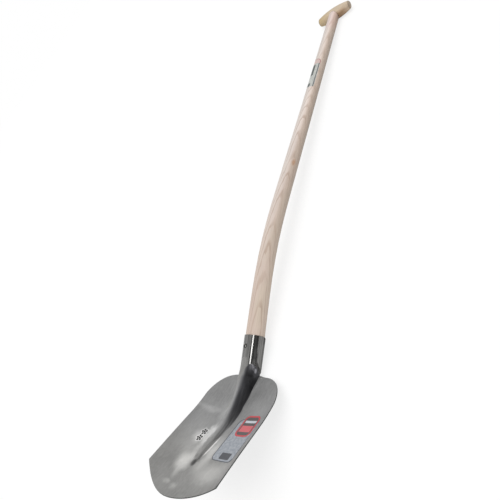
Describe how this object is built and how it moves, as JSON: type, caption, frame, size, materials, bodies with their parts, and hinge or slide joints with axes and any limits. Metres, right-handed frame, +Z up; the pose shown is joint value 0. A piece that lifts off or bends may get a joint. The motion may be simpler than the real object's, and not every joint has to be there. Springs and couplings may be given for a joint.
{
  "type": "scoop shovel",
  "caption": "Long handled scoop shovel: a shallow dished steel blade with a rolled open socket, a bent ash shaft and a turned wooden T grip.",
  "frame": {"origin": "middle of the shovel's box, on the floor that it lies on", "axes": "+Y from the nose of the blade towards the grip, +Z up, +X across the blade to the right seen from above with the nose near"},
  "size_m": [0.182, 1.3898, 0.1426],
  "materials": {
    "blade_steel": "satin ground steel, darker and glossier on the socket",
    "ash": "smooth sanded ash",
    "grip_wood": "smooth turned hardwood",
    "wedge_wood": "sawn hardwood",
    "nail_steel": "dark steel"
  },
  "bodies": {
    "root": {"blade": "blade_steel", "shaft": "ash", "t_grip": "grip_wood", "grip_wedge": "wedge_wood", "socket_nail": "nail_steel"}
  },
  "joints": []
}
